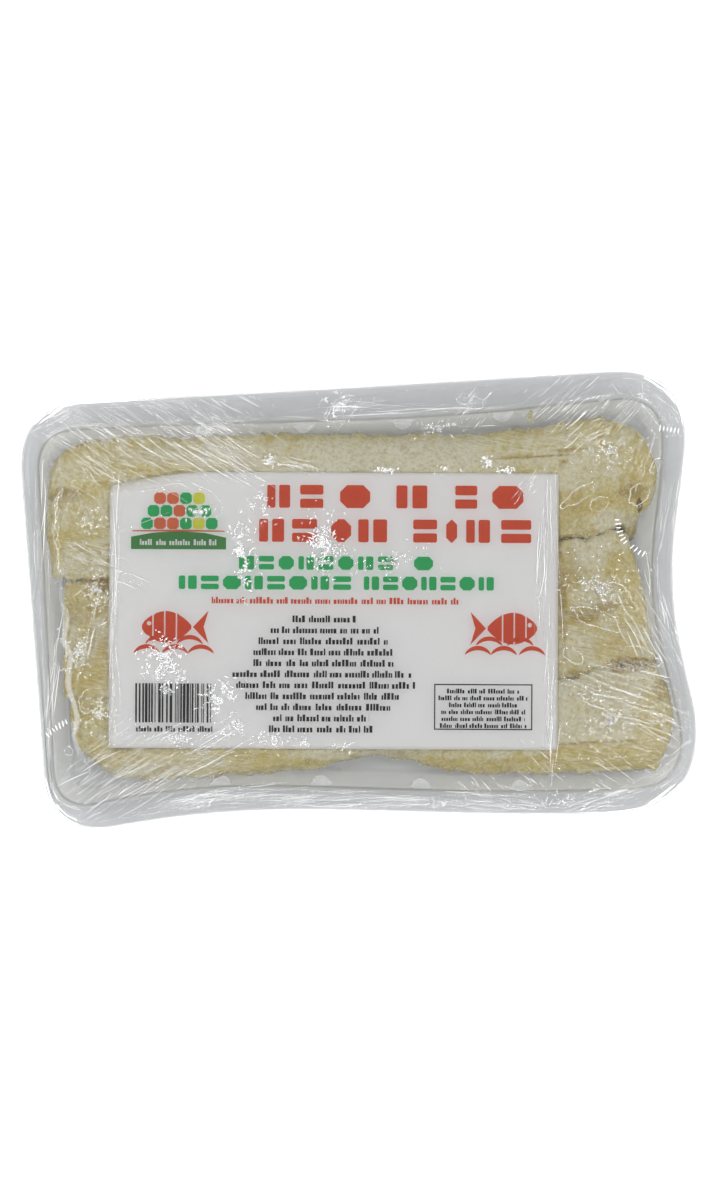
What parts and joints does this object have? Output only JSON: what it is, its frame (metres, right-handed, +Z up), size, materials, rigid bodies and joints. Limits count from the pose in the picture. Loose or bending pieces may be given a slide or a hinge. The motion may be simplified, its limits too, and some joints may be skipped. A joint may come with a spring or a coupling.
{
  "type": "wrapped tray of salt fish fillets",
  "caption": "Shallow clear thermoformed tray of boneless salt fish fillets lying side by side, with a printed paper label on top, all wrapped in clear stretch film.",
  "frame": {"origin": "under the middle of the pack's bounding box, on the flat underside of the film", "axes": "+X along the fillets, to the right in the picture; +Y across them, away from the viewer of the picture's lower edge; +Z up, out of the printed label"},
  "size_m": [0.2262, 0.1503, 0.0174],
  "materials": {
    "clear_tray_plastic": "clear thin thermoformed plastic sheet, smooth and glossy",
    "salted_flesh": null,
    "label_paper": "white uncoated label paper with a coloured print",
    "stretch_film": "very thin clear stretch film, glossy and full of fine pulled creases"
  },
  "bodies": {
    "root": {"fillet_far": "salted_flesh", "fillet_middle": "salted_flesh", "fillet_near": "salted_flesh", "film": "stretch_film", "label": "label_paper", "tray": "clear_tray_plastic"}
  },
  "joints": []
}
